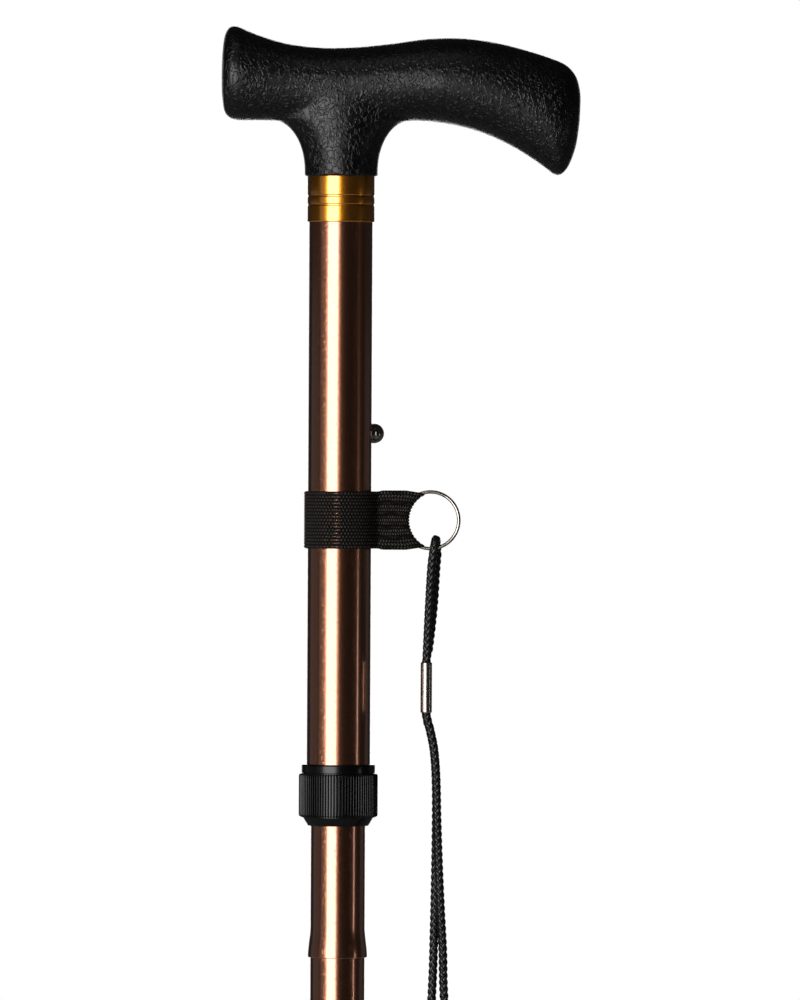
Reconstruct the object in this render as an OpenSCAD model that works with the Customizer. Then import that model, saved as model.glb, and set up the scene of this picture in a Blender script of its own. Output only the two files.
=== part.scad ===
// Folding cane with a moulded T handle, an adjustable two-tube upper shaft, three
// pull-apart lower sections on an elastic cord, and a wrist strap on a split ring.
// Millimetres. The shaft's axis is Z, +Z is up, the rubber tip's underside is at Z = 0,
// and the long arm of the handle points along +X.

/* [Shaft tubes] */
// Outside diameter of the upper tube
upper_tube_d = 22.2; // [21.6:0.1:24]
// Wall of the upper tube
upper_tube_wall = 1.4; // [1.1:0.1:1.6]
// Wall of the inner tube and of the lower sections
lower_tube_wall = 1; // [0.8:0.05:1.2]
// Length that each lower section adds to the cane
section_len = 170; // [140:1:200]
// Bare inner tube between the lock nut and the first bell mouth, at the lowest setting
stub_len = 45.8; // [44:0.1:80]
// Bare upper tube between the lock and the gold collar
shaft_len = 188.5; // [185:0.5:230]

/* [Section joints] */
// Straight mouth of a bell, which the next tube seats in
bell_seat = 2.5; // [2:0.1:4]
// Length over which the bore narrows above the mouth
bell_taper = 5.2; // [4:0.1:8]
// Height of the bell's outer flare
bell_flare = 10.5; // [9:0.1:14]
// Wall of the bell's mouth
bell_wall = 0.75; // [0.6:0.05:1]
// Insert standing up out of a section's tube
insert_reach = 40; // [30:1:42]
// Insert held inside its own tube
insert_root = 32; // [20:1:50]
// Wall of an insert
insert_wall = 1.2; // [1:0.1:1.6]

/* [Height setting] */
// Diameter of the button
button_d = 7; // [6:0.1:7.4]
// Straight shank of the button that shows outside the tube
button_proud = 1.5; // [1:0.1:2]
// Turn of the button's column of holes towards the back
button_turn = 20; // [0:1:60]
// Distance of the button below the gold collar
button_drop = 73.4; // [70:0.1:80]
// Distance from one hole to the next
hole_pitch = 15; // [13:0.1:15.4]
// Number of height settings
hole_count = 7; // [2:1:7]
// Thickness of the leaf spring
spring_t = 0.7; // [0.5:0.05:0.9]
// Width of the leaf spring
spring_w = 6; // [5:0.1:7]
// Length of the leaf spring below the button
spring_len = 42; // [30:1:46]

/* [Lock] */
// Outside diameter of the knurled nut
nut_d = 27.5; // [27.2:0.1:30]
// Height of the knurled band
nut_grip_h = 15.4; // [14:0.1:20]
// Height of the nut's tapered foot
nut_foot_h = 2.9; // [2:0.1:3.4]
// Number of knurl ribs
knurl_count = 84; // [60:1:96]
// Depth of the knurl
knurl_depth = 0.4; // [0.2:0.05:0.5]
// Wall of the lock bush beside the tube
bush_wall = 1.05; // [0.9:0.05:1.1]
// Height of the bush's flange
flange_h = 3; // [2:0.1:5]
// Diameter of the bush's flange
flange_d = 25.6; // [25.2:0.1:27]

/* [Handle] */
// Length of the handle
handle_len = 125; // [115:1:140]
// Reach of the short arm behind the shaft
handle_back = 41.8; // [40:0.1:46]
// Height of the handle above the gold collar
handle_h = 52.4; // [49:0.1:58]
// Width of the grip
grip_w = 28.4; // [27.6:0.1:32]
// Diameter of the stem's foot
stem_d = 25.4; // [24.8:0.1:26]
// Depth of the socket for the upper tube
socket_depth = 32; // [20:1:34]

/* [Gold collar] */
// Height of the collar
gold_h = 16; // [12:0.5:20]
// Wall of the collar
gold_wall = 0.6; // [0.5:0.05:0.9]
// Depth of the two turned lines
line_depth = 0.18; // [0.1:0.02:0.25]

/* [Wrist strap] */
// Width of the webbing
strap_w = 19.6; // [18:0.1:20]
// Thickness of the webbing
strap_t = 1.2; // [1:0.05:1.3]
// Distance of the webbing's middle below the gold collar
strap_drop = 103.5; // [100:0.5:110]
// Ribs across the webbing
rib_count = 11; // [8:1:14]
// Height of a rib
rib_rise = 0.2; // [0.1:0.05:0.25]
// Outside diameter of the split ring
ring_d = 21; // [20.6:0.1:22]
// Thickness of the ring's wire
wire_d = 1.3; // [1.1:0.05:1.4]
// Diameter of the wrist cord
wrist_cord_d = 3.1; // [2.6:0.1:3.1]
// Length of the crimped ferrule
ferrule_len = 17.4; // [14:0.1:18]
// Wall of the ferrule
ferrule_wall = 0.4; // [0.3:0.05:0.5]

/* [Rubber tip] */
// Diameter of the tip's base
tip_d = 36; // [32:0.5:44]
// Height of the tip
tip_h = 40; // [34:0.5:50]
// Rubber under the washer
tip_floor = 8; // [6:0.1:12]
// Thickness of the steel washer
washer_t = 1.5; // [1:0.1:2.5]
// Rubber round the tube
tip_wall = 3; // [2:0.1:4]

/* [Elastic cord] */
// Diameter of the elastic cord
elastic_d = 5; // [4:0.1:5.6]
// Diameter of its end knots
knot_d = 10; // [9:0.1:10.6]
// Height of the upper anchor above the first joint
anchor_rise = 62; // [60:1:66]

/* [Hidden] */
$fn = 96;
// Overrun of every cut past its faces
cut = 1;
// Clearances
slide_gap = 0.2;
insert_gap = 0.1;
bell_gap = 0.15;
press_gap = 0.05;
thread_gap = 0.15;
seat_gap = 0.1;
swing_gap = 0.3;

// Tube radii, each from the one round it
upper_r = upper_tube_d / 2;
upper_bore_r = upper_r - upper_tube_wall;
lower_r = upper_bore_r - slide_gap;
lower_bore_r = lower_r - lower_tube_wall;
insert_r = lower_bore_r - insert_gap;
insert_bore_r = insert_r - insert_wall;
bell_bore_r = lower_r + bell_gap;
bell_r = bell_bore_r + bell_wall;
// Where the bell's curve turns: share of its length, and share of its swelling still left
ease_share = 0.4;
swell_share = 0.75;
flare_steps = 8;

// Heights, from the ground up
foot_z = tip_floor + washer_t;
joint_4_z = foot_z + section_len;
joint_3_z = joint_4_z + section_len;
joint_2_z = joint_3_z + section_len;
nut_z = joint_2_z + stub_len;
grip_z = nut_z + nut_foot_h;
flange_z = grip_z + nut_grip_h + seat_gap;
gold_z = flange_z + flange_h + shaft_len;
handle_z = gold_z + gold_h;
button_z = gold_z - button_drop;
strap_z = gold_z - strap_drop;

// Lock: bush over the tube's end, clamp ring under it, nut round both
bush_r = upper_r + press_gap + bush_wall;
thread_bore_r = bush_r + thread_gap;
clamp_h = 4.2;
nut_floor = 1;
nut_floor_z = grip_z + nut_floor;
clamp_z = nut_floor_z + seat_gap;
bush_z = clamp_z + clamp_h + seat_gap;
bush_lip = 2;
tube_end_z = bush_z + bush_lip;
nut_r = nut_d / 2;
nut_bore_r = lower_r + swing_gap;
clamp_slit = 2;
clamp_chamfer = 0.8;
// Share of the nut's radius at the top and the bottom of the tapered foot
foot_top_share = 0.89;
foot_wall = 0.5;

// Inner tube
inner_top_rise = 20;
inner_top_z = button_z + inner_top_rise;
glide_h = 8;
glide_lip = 1.5;
glide_wall = 1.4;

// Button and leaf spring
button_r = button_d / 2;
button_lip = 1.1;
button_flange_r = button_r + button_lip;
button_flange_t = 1;
flange_seat = sqrt(pow(lower_bore_r, 2) - pow(button_flange_r, 2)) - seat_gap;
shank_end = upper_r + button_proud;
hole_r = button_r + slide_gap;
leaf_x = flange_seat - button_flange_t - seat_gap / 2;
leaf_rise = 5.5;
leaf_half_w = spring_w / 2;
leaf_wall_x = sqrt(pow(lower_bore_r, 2) - pow(leaf_half_w, 2)) - seat_gap;
leaf_bend_r = 2;
leaf_back_x = leaf_wall_x - leaf_bend_r;
leg_rise = spring_len - leaf_rise;
leaf_tilt = atan((leaf_x + leaf_wall_x - 2 * leaf_bend_r) / leg_rise);

// Elastic cord
elastic_r = elastic_d / 2;
knot_r = knot_d / 2;
anchor_r = lower_bore_r - press_gap;
anchor_h = 16;
anchor_z = joint_2_z + anchor_rise;
plug_h = 18;
pocket_h = 11;
pocket_r = knot_r + swing_gap;
cord_hole_r = elastic_r + swing_gap;
end_knot_z = foot_z + pocket_h - seat_gap - knot_r;
top_knot_z = anchor_z + anchor_h - pocket_h + seat_gap + knot_r;

// Rubber tip: shares of its floor and of its base radius
skirt_share = 0.5;
tread_depth_share = 0.15;
tread_w_share = 0.08;
tread_shares = [0.4, 0.6, 0.8];

// Handle: stations of the grip from the back end to the front end. Each row is the crest
// (share of the length, share of the height), the underside (the same) and the width share.
grip_shares = [
    [0.001, 0.750, 0.001, 0.540, 0.40],
    [0.003, 0.840, 0.004, 0.488, 0.62],
    [0.011, 0.950, 0.011, 0.412, 0.87],
    [0.035, 0.998, 0.040, 0.369, 1.00],
    [0.093, 0.944, 0.093, 0.367, 0.97],
    [0.177, 0.882, 0.177, 0.365, 0.93],
    [0.277, 0.854, 0.271, 0.362, 0.92],
    [0.377, 0.859, 0.366, 0.362, 0.93],
    [0.477, 0.884, 0.466, 0.365, 0.96],
    [0.575, 0.916, 0.555, 0.369, 1.00],
    [0.672, 0.920, 0.644, 0.344, 1.02],
    [0.769, 0.890, 0.733, 0.286, 1.00],
    [0.861, 0.834, 0.820, 0.189, 0.96],
    [0.931, 0.779, 0.892, 0.080, 0.91],
    [0.964, 0.738, 0.934, 0.011, 0.84],
    [0.987, 0.671, 0.964, 0.063, 0.68],
    [0.997, 0.591, 0.987, 0.203, 0.46],
    [1.000, 0.528, 0.997, 0.362, 0.22]
];
grip_steps = 2;
grip_sides = 28;
// Roundness of the grip's section: 1 is an ellipse, less is squarer
grip_round = 0.88;
// Stem: an elliptic fillet from the foot up to the grip's underside
stem_r = stem_d / 2;
stem_foot_share = 0.035;
stem_fillet_share = 0.335;
stem_spread_share = 0.088;
stem_top_share = 0.56;
stem_swell_share = 1.012;
// Roundness of the stem's section where it meets the grip: 1 is an ellipse, more is slimmer at the flanks
stem_flank = 1.5;
stem_steps = 10;
stem_sides = 40;

// Gold collar
gold_r = upper_r + press_gap + gold_wall;
line_w = 0.8;
line_shares = [0.375, 0.57];
gold_edge = 0.3;

// Strap
band_r = upper_r + swing_gap / 2;
band_out_r = band_r + strap_t;
rib_pitch = strap_w / rib_count;
// Crest of a rib as shares of its pitch, and the pinch's flanks as shares of the band's radius
rib_shares = [0.3, 0.7];
pinch_shares = [0.62, 0.72];
seam_x = band_out_r + strap_t;
tab_x = seam_x + strap_t + swing_gap;
ring_r = ring_d / 2;
wire_r = wire_d / 2;
wire_off = 0.5;
ring_mid_r = ring_r - wire_r;
ring_hang = 16.5;
ring_x = tab_x + ring_hang;
sleeve_bore_r = wire_r + wire_off + swing_gap;
sleeve_r = sleeve_bore_r + strap_t;
// Share of the webbing's half width that the fold keeps inside the ring
fold_share = 0.87;
fold_half = strap_w / 2 * fold_share;
// Share of the ring's radius left of its middle where the fold ends
fold_end_share = 0.36;
fold_reach = -ring_mid_r * fold_end_share;
// Slope of the tab's corners
corner_slope = 14;
end_notch_a = 50;
end_notch_step = 20;
end_notch_w = 0.35;

// Wrist cord: the route's own points, from inside the ferrule up to the ring, over its
// wire, down through the ferrule, round the hanging loop and back, from the ring's middle
cord_r = wrist_cord_d / 2;
lane = cord_r + press_gap;
ferrule_top = -49.5;
ferrule_x = -1.2;
ferrule_mid = ferrule_top - ferrule_len / 2;
cord_hang_x = 1.9;
hang_z = -sqrt(pow(ring_mid_r, 2) - pow(cord_hang_x, 2));
over_r = cord_r + wire_r + wire_off + swing_gap;
cord_route = [
    [ferrule_x, -lane, ferrule_mid + swing_gap],
    [ferrule_x, -lane, ferrule_top],
    [-1.0, -1.9, -44],
    [-0.4, -2.4, -30],
    [0.3, -2.8, -17],
    [0.9, -over_r, hang_z - 2],
    [1.5, -over_r * 0.8, hang_z + over_r * 0.6],
    [cord_hang_x, 0, hang_z + over_r],
    [2.1, over_r * 0.8, hang_z + over_r * 0.6],
    [2.4, over_r, hang_z - 2],
    [2.0, 2.8, -17],
    [1.2, 2.4, -30],
    [-0.3, 1.9, -44],
    [ferrule_x, lane, ferrule_top],
    [ferrule_x, lane, ferrule_top - ferrule_len],
    [0.2, 1.7, -73],
    [1.6, 1.7, -80],
    [2.3, 1.7, -89],
    [2.5, 1.6, -100],
    [2.4, 1.4, -115],
    [2.2, 1.1, -130],
    [1.9, 0.8, -145],
    [1.5, 0.5, -160],
    [0.4, 0.3, -180],
    [-2.0, 0.1, -202],
    [-4.6, 0, -219],
    [-4.6, 0, -230],
    [-1.0, 0, -237],
    [4.0, 0, -238],
    [9.0, 0, -234],
    [10.6, 0, -224],
    [9.4, -0.1, -208],
    [7.0, -0.2, -186],
    [5.4, -0.5, -164],
    [5.0, -0.8, -150],
    [4.2, -1.1, -136],
    [3.4, -1.4, -120],
    [2.8, -1.6, -104],
    [2.4, -1.7, -90],
    [1.6, -1.7, -80],
    [0.2, -1.7, -73],
    [ferrule_x, -lane, ferrule_top - ferrule_len],
    [ferrule_x, -lane, ferrule_mid - swing_gap]
];
cord_steps = 2;
cord_sides = 8;
cord_side_dir = [1, 1, 0];

// Colours
black_plastic = [0.07, 0.07, 0.07];
black_web = [0.05, 0.05, 0.06];
bronze = [0.36, 0.22, 0.13];
gold = [0.85, 0.62, 0.22];
nickel = [0.75, 0.74, 0.72];
steel = [0.45, 0.45, 0.47];
grey_plastic = [0.5, 0.5, 0.5];
rubber = [0.09, 0.09, 0.09];

function unit(v) = v / norm(v);
function pick(list, i) = list[max(0, min(len(list) - 1, i))];
function middle(list) =
    [for (k = [0 : len(list[0]) - 1]) [for (p = list) p[k]] * [for (p = list) 1] / len(list)];

// A smooth line through the points, with the given number of steps in each span
function between(a, b, c, d, t) =
    0.5 * (2 * b + (c - a) * t + (2 * a - 5 * b + 4 * c - d) * t * t + (3 * b - a - 3 * c + d) * t * t * t);
function smooth(list, steps) = [
    for (i = [0 : len(list) - 2])
        for (s = [0 : steps - 1])
            between(pick(list, i - 1), list[i], list[i + 1], pick(list, i + 2), s / steps),
    list[len(list) - 1]
];

// Signed power, for the squarish oval of the grip
function power(v, e) = sign(v) * pow(abs(v), e);

// A skin over closed rings of points, closed by a fan at each end
module skin(rings) {
    n = len(rings[0]);
    m = len(rings);
    first = n * m;
    points = concat([for (r = rings) each r], [middle(rings[0]), middle(rings[m - 1])]);
    sides = [
        for (i = [0 : m - 2])
            for (k = [0 : n - 1])
                let (a = i * n + k, b = i * n + (k + 1) % n)
                each [[a, a + n, b], [b, a + n, b + n]]
    ];
    starts = [for (k = [0 : n - 1]) [first, k, (k + 1) % n]];
    ends = [for (k = [0 : n - 1]) [first + 1, first - n + (k + 1) % n, first - n + k]];
    polyhedron(points = points, faces = concat(sides, starts, ends));
}

// A round tube wall between two heights
module pipe(r, bore, z0, z1) {
    translate([0, 0, z0]) {
        difference() {
            cylinder(h = z1 - z0, r = r);
            translate([0, 0, -cut]) {
                cylinder(h = z1 - z0 + 2 * cut, r = bore);
            }
        }
    }
}

// A lower tube with a bell at its foot
module belled_tube(z0, z1) {
    swell_z = z0 + bell_seat + bell_taper;
    ease_z = z0 + bell_seat + bell_taper * ease_share;
    ease_bore_r = lower_bore_r + (bell_bore_r - lower_bore_r) * swell_share;
    flare = [
        for (i = [0 : flare_steps])
            let (t = i / flare_steps, ease = pow(1 - t, 2) * (1 + 2 * t))
            [lower_r + (bell_r - lower_r) * ease, z0 + bell_flare * t]
    ];
    rotate_extrude() {
        polygon(concat(
            [[bell_bore_r, z0]],
            flare,
            [
                [lower_r, z1],
                [lower_bore_r, z1],
                [lower_bore_r, swell_z],
                [ease_bore_r, ease_z],
                [bell_bore_r, z0 + bell_seat + bell_gap]
            ]
        ));
    }
}

// An insert: a thin sleeve with a tapered lead-in at its top
module insert(z) {
    lead = insert_wall / 2;
    rotate_extrude() {
        polygon([
            [insert_bore_r, z - insert_root],
            [insert_r, z - insert_root],
            [insert_r, z + insert_reach - insert_wall],
            [insert_r - lead, z + insert_reach],
            [insert_bore_r, z + insert_reach]
        ]);
    }
}

module radial(z) {
    translate([0, 0, z]) {
        rotate([0, 0, button_turn]) {
            rotate([0, 90, 0]) {
                children();
            }
        }
    }
}

function grip_point(row, u, v) = [row[u] * handle_len - handle_back, 0, handle_z + row[v] * handle_h];
function grip_ring(row) =
    let (
        top = grip_point(row, 0, 1),
        low = grip_point(row, 2, 3),
        mid = (top + low) / 2,
        half = (top - low) / 2,
        wide = [0, row[4] * grip_w / 2, 0]
    )
    [for (k = [0 : grip_sides - 1])
        let (a = 360 * k / grip_sides)
        mid + half * power(sin(a), grip_round) + wide * power(cos(a), grip_round)];
function stem_ring(rx, ry, z, flank = 1) =
    [for (k = [0 : stem_sides - 1])
        let (a = 360 * k / stem_sides)
        [rx * power(cos(a), flank), ry * power(sin(a), flank), z]];

module handle() {
    foot_level = handle_z + stem_foot_share * handle_h;
    swell = stem_r * stem_swell_share;
    stem_rings = [
        stem_ring(stem_r, stem_r, handle_z),
        for (i = [0 : stem_steps])
            let (a = 90 * i / stem_steps)
            stem_ring(
                stem_r + stem_spread_share * handle_len * (1 - cos(a)),
                stem_r + (swell - stem_r) * sin(a),
                foot_level + stem_fillet_share * handle_h * sin(a),
                1 + (stem_flank - 1) * (1 - cos(a))
            ),
        stem_ring(swell, swell, handle_z + stem_top_share * handle_h)
    ];
    color(black_plastic) {
        difference() {
            union() {
                skin([for (row = smooth(grip_shares, grip_steps)) grip_ring(row)]);
                skin(stem_rings);
            }
            translate([0, 0, handle_z - cut]) {
                cylinder(h = socket_depth + cut, r = upper_r + press_gap);
            }
        }
    }
}

module gold_collar() {
    lower_line = gold_z + line_shares[1] * gold_h;
    upper_line = gold_z + line_shares[0] * gold_h;
    color(gold) {
        difference() {
            rotate_extrude() {
                polygon([
                    [upper_r + press_gap, gold_z],
                    [gold_r - gold_edge, gold_z],
                    [gold_r, gold_z + gold_edge],
                    [gold_r, handle_z - gold_edge],
                    [gold_r - gold_edge, handle_z],
                    [upper_r + press_gap, handle_z]
                ]);
            }
            pipe(gold_r + cut, gold_r - line_depth, lower_line - line_w / 2, lower_line + line_w / 2);
            pipe(gold_r + cut, gold_r - line_depth, upper_line - line_w / 2, upper_line + line_w / 2);
        }
    }
}

module upper_tube() {
    color(bronze) {
        difference() {
            pipe(upper_r, upper_bore_r, tube_end_z, handle_z + socket_depth - seat_gap);
            for (i = [0 : hole_count - 1]) {
                radial(button_z - i * hole_pitch) {
                    cylinder(h = upper_r + cut, r = hole_r);
                }
            }
        }
    }
}

module lock_bush() {
    color(black_plastic) {
        rotate_extrude() {
            polygon([
                [lower_r + slide_gap, bush_z],
                [bush_r - clamp_chamfer / 2, bush_z],
                [bush_r, bush_z + clamp_chamfer / 2],
                [bush_r, flange_z],
                [flange_d / 2, flange_z],
                [flange_d / 2, flange_z + flange_h - clamp_chamfer],
                [flange_d / 2 - clamp_chamfer, flange_z + flange_h],
                [upper_r + press_gap, flange_z + flange_h],
                [upper_r + press_gap, tube_end_z],
                [lower_r + slide_gap, tube_end_z]
            ]);
        }
    }
}

module clamp_ring() {
    color(grey_plastic) {
        difference() {
            rotate_extrude() {
                polygon([
                    [lower_r + bell_gap, clamp_z],
                    [thread_bore_r - thread_gap - clamp_chamfer, clamp_z],
                    [thread_bore_r - thread_gap, clamp_z + clamp_chamfer],
                    [thread_bore_r - thread_gap, clamp_z + clamp_h - clamp_chamfer],
                    [thread_bore_r - thread_gap - clamp_chamfer, clamp_z + clamp_h],
                    [lower_r + bell_gap, clamp_z + clamp_h]
                ]);
            }
            translate([-nut_r - cut, -clamp_slit / 2, clamp_z - cut]) {
                cube([nut_r + cut, clamp_slit, clamp_h + 2 * cut]);
            }
        }
    }
}

module lock_nut() {
    step = 360 / knurl_count;
    valley_r = nut_r - knurl_depth;
    // Shares of one rib's pitch at the rib's crest edges
    crest_shares = [0.3, 0.7];
    outline = [
        for (i = [0 : knurl_count - 1])
            each [
                valley_r * [cos(i * step), sin(i * step)],
                nut_r * [cos((i + crest_shares[0]) * step), sin((i + crest_shares[0]) * step)],
                nut_r * [cos((i + crest_shares[1]) * step), sin((i + crest_shares[1]) * step)]
            ]
    ];
    color(black_plastic) {
        difference() {
            union() {
                translate([0, 0, grip_z]) {
                    linear_extrude(height = nut_grip_h) {
                        polygon(outline);
                    }
                }
                translate([0, 0, nut_z]) {
                    cylinder(h = nut_foot_h, r1 = nut_bore_r + foot_wall, r2 = nut_r * foot_top_share);
                }
            }
            translate([0, 0, nut_z - cut]) {
                cylinder(h = nut_foot_h + nut_floor + 2 * cut, r = nut_bore_r);
            }
            translate([0, 0, nut_floor_z]) {
                cylinder(h = nut_grip_h + cut, r = thread_bore_r);
            }
        }
    }
}

module inner_tube() {
    color(bronze) {
        difference() {
            belled_tube(joint_2_z, inner_top_z);
            radial(button_z) {
                cylinder(h = upper_r, r = hole_r);
            }
        }
    }
}

module tube_glide() {
    color(grey_plastic) {
        rotate_extrude() {
            polygon([
                [lower_bore_r - press_gap - glide_wall, inner_top_z - glide_h],
                [lower_bore_r - press_gap, inner_top_z - glide_h],
                [lower_bore_r - press_gap, inner_top_z],
                [upper_bore_r - press_gap, inner_top_z],
                [upper_bore_r - press_gap, inner_top_z + glide_lip],
                [lower_bore_r - press_gap - glide_wall, inner_top_z + glide_lip]
            ]);
        }
    }
}

module snap_button() {
    color(steel) {
        radial(button_z) {
            translate([0, 0, flange_seat - button_flange_t]) {
                cylinder(h = button_flange_t, r = button_flange_r);
            }
            translate([0, 0, flange_seat - button_flange_t]) {
                cylinder(h = shank_end - flange_seat + button_flange_t, r = button_r);
            }
            translate([0, 0, shank_end]) {
                sphere(r = button_r);
            }
        }
    }
}

module button_spring() {
    bend_z = button_z - spring_len;
    leg = leg_rise / cos(leaf_tilt);
    color(steel) {
        rotate([0, 0, button_turn]) {
            // Back leg, on the tube's far wall
            translate([-leaf_wall_x, -leaf_half_w, bend_z]) {
                cube([spring_t, spring_w, spring_len + leaf_rise]);
            }
            // Bend
            translate([-leaf_back_x, leaf_half_w, bend_z]) {
                rotate([90, 0, 0]) {
                    difference() {
                        cylinder(h = spring_w, r = leaf_bend_r);
                        translate([0, 0, -cut]) {
                            cylinder(h = spring_w + 2 * cut, r = leaf_bend_r - spring_t);
                        }
                        translate([-2 * leaf_bend_r, 0, -cut]) {
                            cube([4 * leaf_bend_r, 2 * leaf_bend_r, spring_w + 2 * cut]);
                        }
                    }
                }
            }
            // Front leg, leaning out to the button
            translate([-leaf_back_x, 0, bend_z]) {
                rotate([0, leaf_tilt, 0]) {
                    translate([leaf_bend_r - spring_t, -leaf_half_w, 0]) {
                        cube([spring_t, spring_w, leg]);
                    }
                }
            }
            // Pad under the button
            translate([leaf_x - spring_t, -leaf_half_w, button_z - leaf_rise - spring_t]) {
                cube([spring_t, spring_w, 2 * leaf_rise]);
            }
        }
    }
}

module cord_anchor() {
    color(grey_plastic) {
        difference() {
            translate([0, 0, anchor_z]) {
                cylinder(h = anchor_h, r = anchor_r);
            }
            translate([0, 0, anchor_z - cut]) {
                cylinder(h = anchor_h, r = cord_hole_r);
            }
            translate([0, 0, anchor_z + anchor_h - pocket_h]) {
                cylinder(h = pocket_h + cut, r = pocket_r);
            }
        }
    }
}

module elastic_cord() {
    color(black_web) {
        translate([0, 0, end_knot_z]) {
            cylinder(h = top_knot_z - end_knot_z, r = elastic_r);
            sphere(r = knot_r);
        }
        translate([0, 0, top_knot_z]) {
            sphere(r = knot_r);
        }
    }
}

module section_2_tube() {
    color(bronze) {
        belled_tube(joint_3_z, joint_2_z + bell_seat);
    }
}

module section_3_tube() {
    color(bronze) {
        belled_tube(joint_4_z, joint_3_z + bell_seat);
    }
}

module section_4_tube() {
    color(bronze) {
        pipe(lower_r, lower_bore_r, foot_z, joint_4_z + bell_seat);
    }
}

module section_2_insert() {
    color(nickel) {
        insert(joint_2_z + bell_seat);
    }
}

module section_3_insert() {
    color(nickel) {
        insert(joint_3_z + bell_seat);
    }
}

module section_4_insert() {
    color(nickel) {
        insert(joint_4_z + bell_seat);
    }
}

module cord_end_plug() {
    color(grey_plastic) {
        difference() {
            translate([0, 0, foot_z]) {
                cylinder(h = plug_h, r = anchor_r);
            }
            translate([0, 0, foot_z]) {
                cylinder(h = plug_h + cut, r = cord_hole_r);
            }
            translate([0, 0, foot_z - cut]) {
                cylinder(h = pocket_h + cut, r = pocket_r);
            }
        }
    }
}

module rubber_tip() {
    base_r = tip_d / 2;
    bore_r = lower_r + press_gap;
    neck_r = bore_r + tip_wall;
    bead = tip_wall / 3;
    skirt = tip_floor * skirt_share;
    tread_w = base_r * tread_w_share;
    tread_depth = tip_floor * tread_depth_share;
    color(rubber) {
        difference() {
            rotate_extrude() {
                polygon([
                    [0, 0],
                    [base_r - bead, 0],
                    [base_r, bead],
                    [base_r, skirt],
                    [base_r - bead, skirt + bead],
                    [neck_r + bead, tip_floor + 2 * tip_wall],
                    [neck_r, tip_floor + 4 * tip_wall],
                    [neck_r, tip_h - 5 * bead],
                    [neck_r + bead, tip_h - 4 * bead],
                    [neck_r + bead, tip_h - bead],
                    [neck_r, tip_h],
                    [bore_r, tip_h],
                    [bore_r, tip_floor],
                    [0, tip_floor]
                ]);
            }
            for (share = tread_shares) {
                pipe(base_r * share + tread_w / 2, base_r * share - tread_w / 2, -cut, tread_depth);
            }
        }
    }
}

module tip_washer() {
    color(steel) {
        translate([0, 0, tip_floor]) {
            cylinder(h = washer_t, r = lower_r);
        }
    }
}

module strap_band() {
    low = strap_z - strap_w / 2;
    color(black_web) {
        difference() {
            union() {
                rotate_extrude() {
                    polygon(concat(
                        [[band_r, low], [band_out_r - rib_rise, low]],
                        [
                            for (i = [0 : rib_count - 1])
                                each [
                                    [band_out_r, low + (i + rib_shares[0]) * rib_pitch],
                                    [band_out_r, low + (i + rib_shares[1]) * rib_pitch],
                                    [band_out_r - rib_rise, low + (i + 1) * rib_pitch]
                                ]
                        ],
                        [[band_r, low + strap_w]]
                    ));
                }
                // The sewn pinch on the tab's side
                translate([0, 0, low]) {
                    linear_extrude(height = strap_w) {
                        polygon([
                            [0, -band_out_r + rib_rise],
                            [band_out_r * pinch_shares[0], -band_out_r * pinch_shares[1]],
                            [seam_x, -strap_t],
                            [seam_x, strap_t],
                            [band_out_r * pinch_shares[0], band_out_r * pinch_shares[1]],
                            [0, band_out_r - rib_rise]
                        ]);
                    }
                }
            }
            translate([0, 0, low - cut]) {
                cylinder(h = strap_w + 2 * cut, r = band_r);
            }
        }
    }
}

module ring_place() {
    translate([ring_x, 0, strap_z]) {
        rotate([90, 0, 0]) {
            children();
        }
    }
}

module strap_tab() {
    low = strap_z - strap_w / 2;
    color(black_web) {
        difference() {
            union() {
                // Two layers of webbing, parting from the seam to the ring's wire
                difference() {
                    translate([0, 0, low]) {
                        linear_extrude(height = strap_w) {
                            translate([tab_x, 0]) {
                                circle(r = strap_t);
                            }
                            polygon([
                                [tab_x, -strap_t],
                                [ring_x - ring_mid_r, -sleeve_r],
                                [ring_x + fold_reach, -sleeve_r],
                                [ring_x + fold_reach, sleeve_r],
                                [ring_x - ring_mid_r, sleeve_r],
                                [tab_x, strap_t]
                            ]);
                        }
                    }
                    ring_place() {
                        translate([0, 0, -2 * sleeve_r]) {
                            cylinder(h = 4 * sleeve_r, r = ring_mid_r);
                        }
                    }
                    // The corners slope in to the fold's ends
                    for (side = [0, 1]) {
                        translate([0, 0, strap_z]) {
                            mirror([0, 0, side]) {
                                translate([ring_x - ring_mid_r, -2 * sleeve_r, fold_half]) {
                                    rotate([0, corner_slope, 0]) {
                                        translate([0, 0, (strap_w / 2 - fold_half)]) {
                                            cube([2 * ring_r, 4 * sleeve_r, strap_w]);
                                        }
                                    }
                                }
                            }
                        }
                    }
                }
                // The fold round the wire
                intersection() {
                    ring_place() {
                        rotate_extrude() {
                            translate([ring_mid_r, 0]) {
                                circle(r = sleeve_r);
                            }
                        }
                    }
                    translate([ring_x - 2 * ring_r, -2 * sleeve_r, strap_z - fold_half]) {
                        cube([2 * ring_r + fold_reach, 4 * sleeve_r, 2 * fold_half]);
                    }
                }
            }
            ring_place() {
                rotate_extrude() {
                    translate([ring_mid_r, 0]) {
                        circle(r = sleeve_bore_r);
                    }
                }
            }
        }
    }
}

module split_ring() {
    color(nickel) {
        ring_place() {
            difference() {
                rotate_extrude() {
                    translate([ring_mid_r, wire_off]) {
                        circle(r = wire_r);
                    }
                    translate([ring_mid_r, -wire_off]) {
                        circle(r = wire_r);
                    }
                }
                // Where each turn of the wire ends
                rotate([0, 0, end_notch_a]) {
                    translate([0, -end_notch_w / 2, wire_off]) {
                        cube([2 * ring_r, end_notch_w, 2 * wire_d]);
                    }
                }
                rotate([0, 0, end_notch_a + end_notch_step]) {
                    translate([0, -end_notch_w / 2, -wire_off - 2 * wire_d]) {
                        cube([2 * ring_r, end_notch_w, 2 * wire_d]);
                    }
                }
            }
        }
    }
}

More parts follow.
